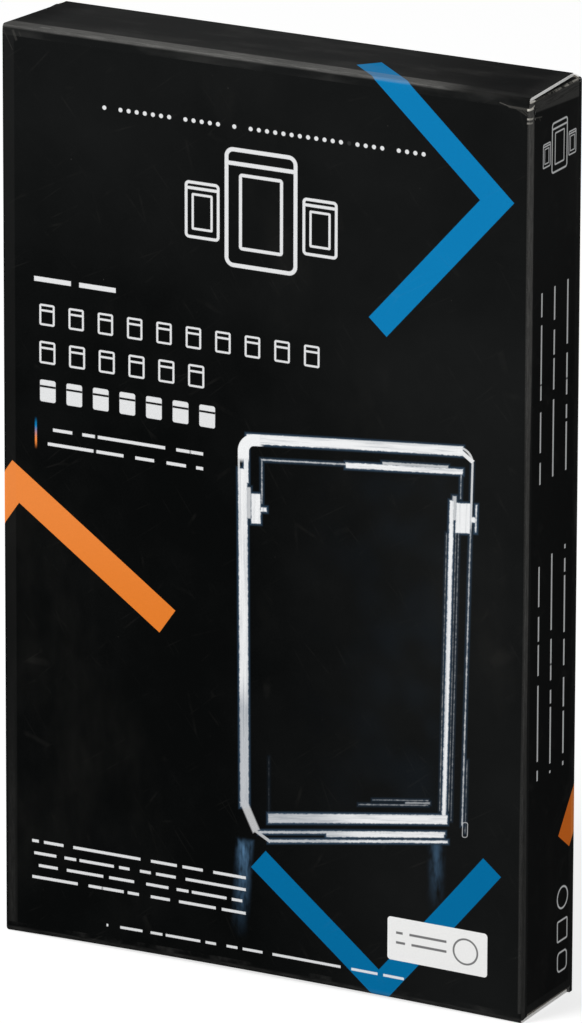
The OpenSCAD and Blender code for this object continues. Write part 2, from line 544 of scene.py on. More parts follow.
def roundBox(p, middle, half, corner):
    # Distance to a rounded box, negative inside
    u, v = parts(p)
    across = (u - middle[0]).calc("ABSOLUTE") - (half[0] - corner)
    upward = (v - middle[1]).calc("ABSOLUTE") - (half[1] - corner)
    outside = u.put("CombineXYZ", {}, {0: greater(across, 0.0), 1: greater(upward, 0.0)})
    far = u.put("VectorMath", {"operation": "LENGTH"}, {0: outside}, "Value")
    return far + lesser(greater(across, upward), 0.0) - corner


def outline(distance, thick):
    # A line of this thickness just inside the edge
    return within(thick / 2 - (distance + thick / 2).calc("ABSOLUTE"))


def ruled(p, low, high, rows, thick, seed, gaps=0.42):
    # Rows of plain rules, broken at uneven lengths
    u, v = parts(p)
    pitch = (high[1] - low[1]) / rows
    line = (v - low[1]) / pitch
    row = line.calc("FLOOR")
    across = (line - row - 0.5).calc("ABSOLUTE") * pitch
    along = u * 0.30 + row * 7.31 + seed
    breaks = u.put("TexNoise", {"noise_dimensions": "1D"}, {"W": along, "Scale": 1.0, "Detail": 0.0})
    solid = within(thick / 2 - across) * within(box((u, v), low, high))
    return solid * rise(breaks, gaps - 0.012, gaps + 0.012)


def turned(p):
    u, v = parts(p)
    return v, -u


def dotted(p, left, right, middle, pitch, size, seed):
    # A line of small round dots with a few gaps
    u, v = parts(p)
    place = (u - left) / pitch
    spot = place.calc("FLOOR")
    cell = u.put("CombineXYZ", {}, {0: (place - spot - 0.5) * pitch, 1: v - middle})
    far = u.put("VectorMath", {"operation": "LENGTH"}, {0: cell}, "Value")
    chance = u.put("TexWhiteNoise", {"noise_dimensions": "1D"}, {"W": spot + seed}, "Value")
    inRow = within(box((u, v), (left, middle - size), (right, middle + size)))
    return within(size / 2 - far) * inRow * rise(chance, 0.13, 0.14)


def cardRow(p, left, right, low, high, count, thick, filled=False):
    # A row of small cards with a title strip, in outline or filled
    u, v = parts(p)
    pitch = (right - left) / count
    place = (u - left) / pitch
    cell = ((place - place.calc("FLOOR") - 0.5) * pitch, v - (low + high) / 2)
    tall = high - low
    half = (tall * 0.39, tall / 2)
    card = roundBox(cell, (0.0, 0.0), half, tall * 0.10)
    stripAt = tall * 0.20
    strip = within(box(cell, (-half[0], stripAt - thick / 2), (half[0], stripAt + thick / 2)))
    inRow = within(box((u, v), (left, low - 1.0), (right, high + 1.0)))
    if filled:
        return within(-card) * (1.0 - strip) * inRow
    return greater(outline(card, thick), strip) * inRow


def caseIcon(p, middle, size, thick):
    # A card in its case, drawn in plain outline
    outer = outline(roundBox(p, middle, (size * 0.66, size), size * 0.16), thick)
    card = roundBox(p, (middle[0], middle[1] - size * 0.06), (size * 0.40, size * 0.64), size * 0.06)
    seam = (middle[0] - size * 0.66, middle[1] + size * 0.70)
    lid = box(p, seam, (middle[0] + size * 0.66, seam[1] + thick))
    return greater(greater(outer, outline(card, thick * 0.8)), within(lid))


def caseTrio(p, middle, size, thick):
    # Three clear cases side by side, the middle one larger
    marks = caseIcon(p, middle, size, thick)
    for way in (-1.07, 1.07):
        place = (middle[0] + way * size, middle[1] - size * 0.14)
        marks = greater(marks, caseIcon(p, place, size * 0.48, thick * 0.72))
    return marks


# The printed picture of a lit clear case: strength, then bars as low corner and high corner
lyingBars = [
    (1.00, [
        ((-3.0, 105.65), (41.4, 107.60)),
        ((17.5, 101.9), (41.5, 103.05)),
        ((1.3, 30.8), (40.2, 32.7)),
        ((-0.7, 28.7), (39.8, 29.25)),
        ((14.0, 28.0), (39.6, 29.0)),
        ((1.4, 26.9), (40.4, 27.5)),
    ]),
    (0.60, [
        ((0.0, 102.5), (18.5, 102.85)),
        ((25.0, 102.9), (38.5, 103.6)),
    ]),
    (0.34, [
        ((21.0, 34.5), (36.0, 34.75)),
        ((24.0, 35.5), (36.0, 35.7)),
        ((31.0, 34.8), (36.4, 35.3)),
    ]),
]


standingBars = [
    (1.00, [
        ((-4.80, 34.0), (-2.85, 100.8)),
        ((38.95, 32.5), (39.88, 96.6)),
        ((-2.10, 90.1), (-0.10, 96.0)),
        ((-0.2, 92.5), (1.2, 93.4)),
        ((40.25, 90.1), (43.35, 96.2)),
        ((43.3, 92.3), (44.4, 93.5)),
        ((44.25, 90.3), (44.60, 96.0)),
        ((-3.6, 98.0), (-2.6, 104.6)),
    ]),
    (0.60, [
        ((0.05, 94.0), (0.32, 102.6)),
        ((-3.4, 91.0), (-2.1, 97.2)),
        ((39.5, 92.6), (40.4, 97.6)),
        ((43.22, 30.5), (43.52, 104.4)),
        ((41.05, 97.0), (41.25, 102.0)),
    ]),
    (0.30, [
        ((38.40, 33.5), (38.58, 90.0)),
        ((40.30, 33.5), (40.46, 90.0)),
        ((40.86, 31.5), (41.04, 90.0)),
        ((43.95, 29.0), (44.12, 44.0)),
    ]),
    (0.08, [
        ((1.45, 32.0), (1.60, 44.0)),
    ]),
]


# Strokes across the corners: from, to, half width, strength
litStrokes = [
    ((-3.8, 34.6), (-1.6, 29.9), 1.00, 1.00),
    ((-1.2, 29.1), (1.6, 27.2), 0.36, 0.95),
    ((40.8, 106.7), (43.2, 104.8), 0.50, 0.95),
]


def casePicture(p):
    u, v = parts(p)
    lean = 0.19125 - v * 0.000875
    straight = u - (u * 0.00063 - 0.0059) * (v - 70.0)
    level = (straight, v - lean * u)
    place = u.put("CombineXYZ", {}, {0: level[0], 1: level[1]})
    ragged = (cloud(place, 1.1, 3.0, 0.65) - 0.5) * 0.42
    around = roundBox(level, (19.4, 66.0), (24.2, 41.6), 3.4)
    core = outline(around, 2.3) * within(box(level, (-5.2, 102.4), (0.2, 108.0)), 0.6)
    fringe = None
    for a, b, wide, strength in litStrokes:
        core = greater(core, scuffLine(place, a, b, wide, strength, 0.6))
    for groups, stretch in ((lyingBars, (0.10, 1.7, 1.0)), (standingBars, (1.7, 0.04, 1.0))):
        streak = rise(cloud(place, 1.0, 3.0, 0.6, stretch), 0.30, 0.56, 0.34) + 0.66
        for strength, bars in groups:
            near = None
            for low, high in bars:
                inside = box(level, low, high)
                near = greater(near, inside) if near else inside
            core = greater(core, rise(near + ragged, -0.08, 0.20, strength) * streak)
            glow = rise(near, -0.60, 0.25, strength)
            fringe = greater(fringe, glow) if fringe else glow
    rightward = rise(straight, 8.0, 24.0, 0.42) + 0.58
    core = core * greater(rightward, rise(v, 45.0, 60.0))
    rounded = outline(around, 0.40) * rise(v, 94.0, 98.0, 0.70)
    loop = outline(roundBox(level, (44.0, 29.7), (0.62, 1.6), 0.5), 0.16) * 0.45
    core = greater(core, greater(rounded, loop))
    inner = box(level, (0.6, 33.5), (38.2, 101.0))
    haze = within(inner, 2.0) * rise(cloud(p, 0.10, 1.0), 0.35, 0.75) * rise(u, 4.0, 36.0) * 0.008
    soft = cloud(p, 0.7, 2.0, 0.6, (1.0, 0.3, 1.0))
    left = rise(box((u + (v - 20.0) * -0.06, v), (-4.6, 4.0), (-3.0, 26.0)), -1.5, 1.1, 0.60) * rise(v, 6.0, 28.0)
    right = rise(box((u, v), (36.4, 20.0), (38.2, 33.0)), -1.4, 1.6, 0.24) * rise(v, 18.0, 31.0)
    below = greater(left, right) * rise(soft, 0.25, 0.65)
    return core, greater(greater(fringe * 0.22, haze), below)


def scratches(p, seed):
    # Fine straight handling marks and specks of dust
    shifted = p.moved((seed * 13.7, seed * 5.3, 0.0))
    marks = None
    for turn, offset, level in ((0.6, 0.0, 0.005), (2.2, 31.0, 0.004)):
        way = (math.cos(turn), math.sin(turn), 0.0)
        side = (-math.sin(turn) * 8.0, math.cos(turn) * 8.0, 0.0)
        lines = p.put("CombineXYZ", {}, {0: shifted.along(way) * 0.020 + offset, 1: shifted.along(side) * 0.022})
        cells = p.put("TexVoronoi", {"feature": "DISTANCE_TO_EDGE"}, {"Vector": lines, "Scale": 1.0})
        thin = 1.0 - rise(cells, 0.004, 0.016)
        patchy = rise(cloud(shifted.moved((offset, 9.0, 0.0)), 0.12, 3.0, 0.6), 0.50, 0.70, level)
        marks = greater(marks, thin * patchy) if marks else thin * patchy
    dots = p.put("TexVoronoi", {}, {"Vector": shifted, "Scale": 0.30, "Randomness": 1.0})
    choose = p.put("TexVoronoi", {}, {"Vector": shifted, "Scale": 0.30, "Randomness": 1.0}, "Color")
    few = rise(parts(choose)[0], 0.80, 1.0)
    specks = (1.0 - rise(dots, 0.012, 0.035)) * few
    return marks + specks * 0.09


def scuffLine(p, a, b, wide, level, crisp=0.1):
    long = math.hypot(b[0] - a[0], b[1] - a[1])
    way = ((b[0] - a[0]) / long, (b[1] - a[1]) / long, 0.0)
    here = p.moved((-(a[0] + b[0]) / 2, -(a[1] + b[1]) / 2, 0.0))
    off = here.along((-way[1], way[0], 0.0)).calc("ABSOLUTE")
    end = here.along(way).calc("ABSOLUTE") - long / 2
    return rise(greater(off, end), wide, wide * crisp, level)


def filmFinish(name, art, wearAndPaintedLight, shade, knocks, seed):
    # Black print under a matt film; art paints the inks, the worn-film mask both the worn places and painted light
    # on folds and bends, knocks the bared ones, and shade sets the black's level: painted light and shade on the
    # front, lid, sides and bottom lid, random tone on the others
    made, tree, shader = newMaterial(name)
    p = sheetPlace(tree)
    cloudy = cloud(p, 0.035, 4.0, 0.6)
    grain = cloud(p, 2.6, 2.0, 0.7)
    # The black's level: painted light and shade from the shade function, random clouds and grain
    depth = shade(p) + (cloudy - 0.5) * 0.9 + (grain - 0.5) * 0.35
    mix = {"data_type": "RGBA"}
    colour = p.put("Mix", mix, {0: depth, 6: inks["deepBlack"], 7: inks["softBlack"]}, 2)
    colour = art(p, colour, grain)
    paled = wearAndPaintedLight(p)
    smears = rise(cloud(p.moved((seed * 3.0, 0.0, 0.0)), 0.022, 5.0, 0.65, (1.0, 0.45, 1.0)), 0.52, 0.80, 0.010)
    # The pale grey goes where the film is worn and where light is painted on
    colour = colour.put("Mix", mix, {0: paled, 6: colour, 7: inks["rub"]}, 2)
    marks = scratches(p, seed) + smears
    if knocks:
        marks = greater(marks, knocks(p))
    colour = colour.put("Mix", mix, {0: marks, 6: colour, 7: inks["bare"]}, 2)
    roughness = 0.40 + cloudy * 0.16 + paled * 0.25
    height = grain * 0.25 + cloud(p, 0.9, 1.0) * 0.75
    bump = height.put("Bump", {}, {"Strength": 0.10, "Distance": 0.00006, "Height": height})
    feed(shader, Base_Color=colour, Roughness=roughness, Normal=bump, IOR=1.03)
    return made


def painted(colour, ink, mask, grain):
    # One ink laid over what is there, a little uneven as print is
    deep = tuple(c * 0.90 for c in ink[:3]) + (1.0,)
    tone = grain.put("Mix", {"data_type": "RGBA"}, {0: grain, 6: deep, 7: ink}, 2)
    return tone.over(colour, mask)


def noArt(p, colour, grain):
    return colour


# Painted light and shade: the front's black is lighter towards the top and, below the middle, towards the right;
# darkest at the lower left
def frontPaintedLight(p):
    u, v = parts(p)
    return rise(v, 95.0, 176.0, 0.60) + rise(u, -15.0, 40.0, 0.60) * (1.0 - rise(v, 120.0, 160.0)) + 0.02


# Painted light: the lid's top is lighter across its left and middle and falls off at both ends; its front strip
# follows the front's painted light, a little lighter
def lidPaintedLight(p):
    u, v = parts(p)
    top = rise(v, 179.2, 179.9)
    flat = rise(u, -54.0, -47.0, 0.90) * (1.0 - rise(u, 20.0, 40.0)) - 0.05
    return flat * top + (frontPaintedLight(p) + 0.10) * (1.0 - top)


# Painted shade: the sides' black is lighter towards the top and darker below
def sidePaintedLight(p):
    u, v = parts(p)
    return rise(v, 105.0, 165.0, 0.80) - 0.22


def plainShade(p):
    return rise(cloud(p, 0.05, 2.0), 0.3, 0.7, 0.3) + 0.35


def frontArt(p, colour, grain):
    u, v = parts(p)
    core, halo = casePicture(p)
    colour = painted(colour, inks["tint"], halo, grain)
    colour = painted(colour, inks["white"], core, grain)
    for name, ink in (("upperBlue", "blue"), ("lowerBlue", "lowBlue")):
        colour = painted(colour, inks[ink], bentStripe(p, name), grain)
    stripe = bentStripe(p, "sideOrange")
    colour = painted(colour, inks["orange"], stripe, grain)
    colour = painted(colour, inks["lowOrange"], stripe * (1.0 - rise(v, 66.0, 92.0)), grain)
    marks = caseTrio(p, (-0.3, 151.0), 11.6, 0.80)
    marks = greater(marks, dotted(p, -34.3, 34.4, 166.6, 1.72, 0.84, 3.0))
    marks = greater(marks, ruled(p, (-48.6, 130.2), (-31.0, 132.4), 1, 0.95, 11.5, 0.36))
    marks = greater(marks, cardRow(p, -49.0, 13.6, 122.3, 126.5, 10, 0.40))
    marks = greater(marks, cardRow(p, -49.0, -10.8, 114.8, 119.2, 6, 0.40))
    marks = greater(marks, cardRow(p, -48.6, -8.8, 107.3, 111.6, 7, 0.42, True))
    marks = greater(marks, ruled(p, (-45.8, 97.6), (-12.5, 103.4), 2, 0.62, 21.0, 0.40))
    marks = greater(marks, ruled(p, (-49.5, 10.6), (-3.2, 20.4), 4, 0.58, 34.0, 0.40))
    marks = greater(marks, ruled(p, (-33.3, 3.6), (31.0, 5.2), 1, 0.52, 43.0, 0.40))
    colour = painted(colour, inks["white"], marks * 0.86, grain)
    thinBar = within(box(p, (-48.58, 97.0), (-48.14, 104.8)), 0.05) * band(v, 98.6, 103.2, 1.0)
    shift = {0: rise(v, 99.5, 102.5), 6: inks["orange"], 7: inks["blue"]}
    twoTone = p.put("Mix", {"data_type": "RGBA"}, shift, 2)
    colour = twoTone.over(colour, thinBar)
    label = within(-roundBox(p, (37.65, 12.3), (10.55, 4.4), 0.7), 0.05)
    colour = painted(colour, inks["label"], label, grain)
    lines = ruled(p, (28.9, 10.6), (39.6, 14.6), 2, 0.50, 51.0, 0.34)
    ring = outline(roundBox(p, (43.6, 12.3), (2.7, 2.7), 2.7), 0.38)
    return painted(colour, inks["labelGrey"], greater(lines, ring) * 0.85, grain)


def lidArt(p, colour, grain):
    return painted(colour, inks["blue"], bentStripe(p, "upperBlue"), grain)


def footArt(p, colour, grain):
    return painted(colour, inks["lowBlue"], bentStripe(p, "lowerBlue"), grain)


def rightArt(p, colour, grain):
    colour = painted(colour, inks["sideOrange"], bentStripe(p, "rearOrange"), grain)
    marks = caseTrio(p, (sideMiddle + 1.4, 168.3), 4.9, 0.36)
    q = turned(p)
    middle = -sideMiddle
    marks = greater(marks, ruled(q, (104.5, middle - 8.2), (141.5, middle + 7.8), 3, 0.52, 5.0, 0.36))
    marks = greater(marks, ruled(q, (46.5, middle - 8.2), (90.0, middle + 7.8), 3, 0.52, 14.0, 0.36))
    for spot, centre in enumerate((20.1, 13.6, 7.4)):
        size = 2.3 - 0.12 * spot
        corner = (size, 0.5, 1.1)[spot]
        sign = outline(roundBox(p, (sideMiddle + 5.9, centre), (size, size), corner), 0.36)
        marks = greater(marks, sign)
    return painted(colour, inks["white"], marks * 0.80, grain)


def leftArt(p, colour, grain):
    colour = painted(colour, inks["orange"], bentStripe(p, "sideOrange"), grain)
    marks = caseTrio(p, (-sideMiddle, 160.0), 5.2, 0.38)
    q = turned(p)
    marks = greater(marks, ruled(q, (18.0, sideMiddle - 4.0), (56.0, sideMiddle + 4.0), 2, 0.55, 9.0, 0.38))
    return painted(colour, inks["white"], marks * 0.80, grain)


def rearArt(p, colour, grain):
    colour = painted(colour, inks["orange"], bentStripe(p, "rearOrange"), grain)
    middle = girth / 2
    marks = caseTrio(p, (middle, 140.0), 14.0, 0.85)
    marks = greater(marks, cardRow(p, middle - 31.0, middle + 31.0, 109.0, 113.2, 10, 0.40))
    marks = greater(marks, ruled(p, (middle - 34.0, 82.0), (middle + 34.0, 100.0), 6, 0.62, 61.0, 0.40))
    marks = greater(marks, ruled(p, (middle - 10.0, 20.0), (middle + 42.0, 29.0), 3, 0.62, 71.0, 0.40))
    return painted(colour, inks["white"], marks * 0.82, grain)


def foldStreaks(p, stretch, scale):
    return rise(cloud(p, scale, 4.0, 0.7, stretch), 0.34, 0.70)


def band(x, low, high, soft):
    return rise(x, low - soft, low + soft) * (1.0 - rise(x, high - soft, high + soft))


def noWear(p):
    return cloud(p, 0.3) * 0.03


def cornerMarks(p):
    # Whitened ridges where the corners were knocked: from, to, half width, strength
    corner = None
    for a, b, wide, level in (
        ((49.3, 178.55), (51.5, 178.02), 0.15, 0.11),
        ((51.3, 178.05), (55.3, 177.88), 0.32, 0.08),
        ((52.4, 177.95), (54.3, 177.05), 0.16, 0.045),
        ((53.2, 177.96), (54.7, 176.80), 0.16, 0.045),
        ((53.9, 177.90), (55.0, 177.00), 0.20, 0.06),
        ((55.1, 177.84), (56.5, 177.95), 0.30, 1.50),
        ((56.4, 177.98), (57.4, 178.30), 0.20, 0.80),
        ((55.1, 176.10), (56.3, 176.02), 0.28, 0.80),
        ((56.2, 176.02), (60.0, 175.50), 0.14, 0.13),
        ((58.9, 175.75), (59.4, 174.90), 0.14, 0.08),
        ((55.05, 175.32), (56.2, 175.24), 0.24, 0.48),
        ((-55.2, 179.40), (-53.1, 175.30), 0.12, 0.030),
        ((-52.9, 178.90), (-52.3, 177.40), 0.38, 0.040),
        ((-51.6, 178.80), (-51.3, 178.20), 0.22, 0.020),
    ):
        mark = scuffLine(p, a, b, wide, level, 0.3)
        corner = greater(corner, mark) if corner else mark
    fine = rise(cloud(p, 5.0, 3.0, 0.7), 0.50, 0.76)
    return corner * (fine * 0.5 + 0.6)


def frontKnocks(p):
    # The corner marks, and the bared tips of the front beside the lid's fold
    u, v = parts(p)
    uneven = cloud(p, 5.0, 3.0, 0.7) * 0.3 - 0.15
    tips = rise(u.calc("ABSOLUTE"), 55.36, 55.46, 0.9) * rise(v + uneven, 178.98, 179.10)
    return greater(cornerMarks(p), tips)


def flapKnocks(p):
    # Bared wisps along the dust flap's bend
    u, v = parts(p)
    patch = rise(cloud(p, 0.35, 4.0, 0.7), 0.38, 0.54)
    line = foldStreaks(p, (0.16, 2.6, 1.0), 1.5)
    fine = rise(cloud(p, 5.0, 3.0, 0.7), 0.50, 0.76)
    rearMore = rise(u.calc("ABSOLUTE"), sideMiddle - 3.0, sideMiddle + 6.0, 0.95) + 0.30
    return band(v, 178.76, 179.22, 0.14) * patch * (line * 0.55 + fine * 0.45 + 0.10) * rearMore


def frontWearAndPaintedLight(p):
    u, v = parts(p)
    streak = foldStreaks(p, (2.2, 0.22, 1.0), 1.4)
    fine = rise(cloud(p, 5.0, 3.0, 0.7), 0.50, 0.76)
    low = 1.0 - rise(v, 30.0, 90.0)
    middle = band(v, 46.0, 118.0, 14.0)
    start = u + low * 0.28 - middle * 0.05
    end = u + low * 0.35 + middle * 0.50
    # The right fold's band and line are worn film and a painted highlight where the fold turns to the side
    right = rise(start, 54.98, 55.46) * (1.0 - rise(end, 56.71, 57.19))
    right = right * (streak * 0.16 + fine * 0.16 + 0.17) * (1.0 - low * 0.68) * (1.0 - middle * 0.20)
    line = band(start, 55.00, 55.40, 0.14) * (fine * 0.24 + 0.10) * (1.0 - low * 0.4) * (1.0 - middle * 0.4)
    left = band(-u, 52.75, 54.85, 0.15) * 0.014
    leftLow = band(-u, 53.2, 54.6, 0.40) * (1.0 - rise(v, 8.0, 60.0)) * (streak * 0.03 + 0.008)
    return greater(greater(right, line), left + leftLow)


def lidWearAndPaintedLight(p):
    u, v = parts(p)
    across = foldStreaks(p, (0.16, 2.6, 1.0), 1.5)
    fine = rise(cloud(p, 4.0, 3.0, 0.7), 0.48, 0.78)
    fade = (1.0 - rise(u, 34.0, 44.0, 0.95)) * (1.0 - rise(cloud(p, 0.05, 1.0), 0.45, 0.7, 0.20))
    fade = fade * (rise(u, -52.0, -43.0, 0.28) + 0.72)
    # The front fold's crease is worn film and painted highlights on the bend
    fold = band(v, 179.58, 182.75, 0.30) * (across * 0.22 + fine * 0.12 + 0.19) * fade
    # Painted sheen: the top a little lighter just behind the fold
    tail = rise(v, 179.7, 180.4) * (1.0 - rise(v, 181.5, 188.0)) * 0.030 * (1.0 - rise(u, 36.0, 46.0, 0.8))
    spot = scuffLine(p, (-47.4, 181.0), (-45.9, 181.0), 0.85, 0.42)
    rear = band(v, 199.9, 200.9, 0.4) * (across * 0.16 + 0.05)
    edge = rise(u, 51.0, 54.8) * band(v, 180.5, 199.0, 0.5) * (fine * 0.10 + 0.015)
    # Painted light: random dull patches turned up to light the top, then the whole top a little lighter short of
    # its right end
    dullAndLit = rise(cloud(p, 0.11, 4.0, 0.6, (0.5, 1.6, 1.0)), 0.44, 0.78, 0.045)
    dullAndLit = dullAndLit + rise(v, 179.9, 180.6, 0.010) * (1.0 - rise(u, 34.0, 46.0))
    return greater(greater(greater(fold, tail), spot), greater(rear, edge)) + dullAndLit


def footWear(p):
    u, v = parts(p)
    across = foldStreaks(p, (0.16, 2.6, 1.0), 1.5)
    fold = band(-v, -1.0, 0.6, 0.30) * (across * 0.06 + 0.01)
    paled = rise(cloud(p, 0.12, 5.0, 0.65), 0.48, 0.75, 0.06)
    return greater(fold, paled)


def sideWearAndPaintedLight(p):
    u, v = parts(p)
    paled = rise(cloud(p, 0.16, 5.0, 0.65), 0.55, 0.80, 0.02)
    rear = rise(u.calc("ABSOLUTE"), seamBack - 1.5, seamBack + 0.5) * foldStreaks(p, (2.2, 0.22, 1.0), 1.4) * 0.05
    fine = rise(cloud(p, 5.0, 3.0, 0.7), 0.50, 0.76)
    # Painted light: the side's top above this crease is painted grey, where the shoulder turns up to the light
    crease = 176.0 - (u.calc("ABSOLUTE") - sideMiddle) * 0.066
    shoulder = rise(v - crease, 0.10, 0.55) * (fine * 0.08 + 0.13)
    return greater(paled, greater(rear, shoulder))


def rearWear(p):
    u, v = parts(p)
    away = (u - girth / 2).calc("ABSOLUTE")
    streak = foldStreaks(p, (2.2, 0.22, 1.0), 1.4)
    folds = band(away, flatHalf - 0.2, sideStart, 0.4) * (streak * 0.22 + 0.05)
    paled = rise(cloud(p, 0.06, 5.0, 0.65), 0.50, 0.80, 0.07)
    return greater(folds, paled)


def flapWearAndPaintedLight(p):
    # Painted light: the dust flap's upturned bend is painted pale, at the top end only, over faint random rubbing
    u, v = parts(p)
    line = foldStreaks(p, (0.16, 2.6, 1.0), 1.5)
    fine = rise(cloud(p, 5.0, 3.0, 0.7), 0.50, 0.76)
    topEnd = rise(v, 90.0, 91.0, 0.92) + 0.08
    shoulder = (1.0 - rise(v, 178.55, 179.0)) * (line * 0.10 + fine * 0.10 + 0.07) * topEnd
    return shoulder + rise(cloud(p, 0.2, 3.0), 0.5, 0.8, 0.02)


def boardInside():
    # Uncoated back of the board, grey white with short fibres
    made, tree, shader = newMaterial("board_inside")
    p = sheetPlace(tree)
    fibre = cloud(p, 1.6, 4.0, 0.7, (0.25, 1.0, 1.0))
    mottled = cloud(p, 0.12, 4.0, 0.6)
    tone = rise(fibre, 0.25, 0.8, 0.6) + mottled * 0.4
    low, high = fromScreen(186, 180, 168), fromScreen(214, 209, 198)
    colour = p.put("Mix", {"data_type": "RGBA"}, {0: tone, 6: low, 7: high}, 2)
    flecks = rise(cloud(p, 3.5, 3.0, 0.8), 0.70, 0.80, 0.25)
    colour = p.put("Mix", {"data_type": "RGBA"}, {0: flecks, 6: colour, 7: fromScreen(140, 130, 116)}, 2)
    bump = fibre.put("Bump", {}, {"Strength": 0.25, "Distance": 0.00005, "Height": fibre})
    feed(shader, Base_Color=colour, Roughness=0.72 + fibre * 0.2, Normal=bump, IOR=1.30)
    return made


def rawEdge():
    # Cut edge of the board: pale layers, painted black at the back corners
    made, tree, shader = newMaterial("raw_board_edge")
    p = objectPlace(tree)
    layers = cloud(p, 1.4, 4.0, 0.7)
    fine = cloud(p, 7.0, 2.0, 0.6)
    low, high = fromScreen(238, 234, 226), fromScreen(254, 254, 252)
    tone = rise(layers, 0.25, 0.56, 0.8) + fine * 0.4
    colour = p.put("Mix", {"data_type": "RGBA"}, {0: tone, 6: low, 7: high}, 2)
    x, y = parts(p)
    blackCorners = rise(x.calc("ABSOLUTE"), 54.5, 54.9) * rise(y, 8.9, 9.3) * (1.0 - rise(layers, 0.60, 0.66))
    colour = p.put("Mix", {"data_type": "RGBA"}, {0: blackCorners, 6: colour, 7: inks["softBlack"]}, 2)
    bump = fine.put("Bump", {}, {"Strength": 0.4, "Distance": 0.00006, "Height": fine})
    feed(shader, Base_Color=colour, Roughness=0.8 + fine * 0.1, Normal=bump, IOR=1.30)
    return made


inside = boardInside()
rawRim = rawEdge()
print("board finishes made")

boardLines = {
    "frontAcross": mirrored(spaced(0.0, 47.0, 1.6, flatHalf, 0.37, 55.35, 0.20, sideStart, 0.20, seamFront, 0.30)),
    "frontUp": spaced(0.6, 2.0, 0.35, 8.0, 0.75, 170.0, 1.6, 174.0, 0.8, 178.0, 0.33, 179.4, 0.28),
    "lidAcross": mirrored(spaced(0.0, 47.0, 1.6, flatHalf, 0.45, 55.35, 0.20)),
    "sideAcross": spaced(seamFront, seamBack, 0.65),
    "sideUp": spaced(2.85, 8.0, 0.8, 172.0, 1.6, 177.15, 0.6),
    "rearAcross": spaced(
        seamBack, backStart - arcLong, 0.30, backStart, 0.20, backStart + 7.0, 0.8,
        girth - backStart - 7.0, 1.6, girth - backStart, 0.8,
        girth - backStart + arcLong, 0.20, girth - seamBack, 0.30,
    ),
    "rearUp": spaced(0.0, 3.0, 0.5, 172.0, 1.6, 177.0, 0.8, 179.35, 0.4),
}


def uprightPlace(u, v):
    points, outward = onGirth(u)
    flat = np.column_stack([points, v])
    return flat, np.column_stack([outward, 0 * v]), np.column_stack([u, v])


def frontPlace(u, v):
    edge = carton["lidSheetEdge"]
    drop = 0.18 * smooth(np.abs(u), edge, seamFront)
    high = 178.0 + np.maximum(v - 178.0, 0) * (1.4 - drop) / 1.4
    low = 2.0 - np.maximum(2.0 - v, 0) * (1.4 - drop) / 1.4
    return uprightPlace(u, np.where(v > 90, np.where(v > 178.0, high, v), np.where(v < 2.0, low, v)))


def frontKeep(u, v):
    return abs(u) > carton["lidSheetEdge"] or 2.0 < v < 178.0


def rearPlace(u, v):
    # The back's top edge falls a little round its two corners
    away = np.abs(u - girth / 2)
    drop = 0.35 * smooth(away, flatHalf - 0.9, flatHalf) + 0.65 * smooth(away, flatHalf, sideStart)
    high = 177.0 + (v - 177.0) * (2.35 - drop) / 2.35
    return uprightPlace(u, np.where(v > 177.0, high, v))


def lidPlace(top):
    c = carton
    lean = c["topLean"] if top else 0.0
    leftHalf, rightHalf = c["lidRearHalves"]["top" if top else "bottom"]
    quarter = math.pi / 2
    radius, bend = c["lidRadius"], c["tongueRadius"]
    climb = c["high"] - c["lidFrom"] - radius
    deep = c["lidRearFace"] + c["halfDeep"] - radius - bend
    legs = [(climb, 0), (radius, -quarter), (deep, 0), (bend, -quarter - math.radians(lean)), (c["tongueLong"], 0)]
    flatFrom = climb + radius * quarter
    flatTo = flatFrom + deep
    end = flatTo + bend * (quarter + math.radians(lean)) + c["tongueLong"]
    edgePoint = onGirth(np.array([c["lidSheetEdge"]]))[0][0][0]

    def place(u, s):
        line, angles = follow((-c["halfDeep"], c["lidFrom"]), quarter, legs, s)
        out = np.column_stack([-np.sin(angles), np.cos(angles)])
        around, girthOut = onGirth(u)
        x = around[:, 0]
        rearHalf = np.where(x < 0, leftHalf, rightHalf)
        back = (around[:, 1] + c["halfDeep"]) * (1 - smooth(s, flatFrom, flatFrom + 4.0))
        t = np.clip((s - flatFrom) / (flatTo - 1.0 - flatFrom), 0, 1)
        x = x * (1 + (rearHalf / edgePoint - 1) * t)
        narrow = rearHalf - (rearHalf - c["tongueHalf"]) * smooth(s, flatTo, flatTo + 0.9)
        corner = c["tongueCorner"]
        left = np.clip(corner - (end - s), 0, corner)
        narrow = narrow - (corner - np.sqrt(np.maximum(corner ** 2 - left ** 2, 0.02)))
        beyond = np.maximum(np.abs(x) - 44.0, 0) * (narrow - 44.0) / (rearHalf - 44.0)
        x = np.where((np.abs(x) > 44.0) & (s > flatTo - 1.0), np.sign(x) * (44.0 + beyond), x)
        frontPart = np.maximum(-out[:, 0], 0)
        outward = np.column_stack([
            girthOut[:, 0] * frontPart,
            np.where(out[:, 0] < 0, girthOut[:, 1] * frontPart, out[:, 0]),
            out[:, 1],
        ])
        outward /= np.linalg.norm(outward, axis=1)[:, None]
        z = line[:, 1] if top else c["high"] - line[:, 1]
        if not top:
            outward[:, 2] *= -1
        v = c["lidFrom"] + s if top else c["high"] - c["lidFrom"] - s
        return np.column_stack([x, line[:, 0] + back, z]), outward, np.column_stack([u, v])

    return place, climb, flatFrom, flatTo, end


# Dust flaps: level of the seam in the side, of their outer face, and the bend between
dustFlaps = {
    "seam": 177.15,
    "level": 179.25,
    "tip": 41.5,
    "topBend": 1.5,
    "topBendSpread": 0.4,
    "bottomBend": 0.9,
    "tipFront": -0.3,
    "tipRear": 5.3,
    "tipRound": 1.6,
}


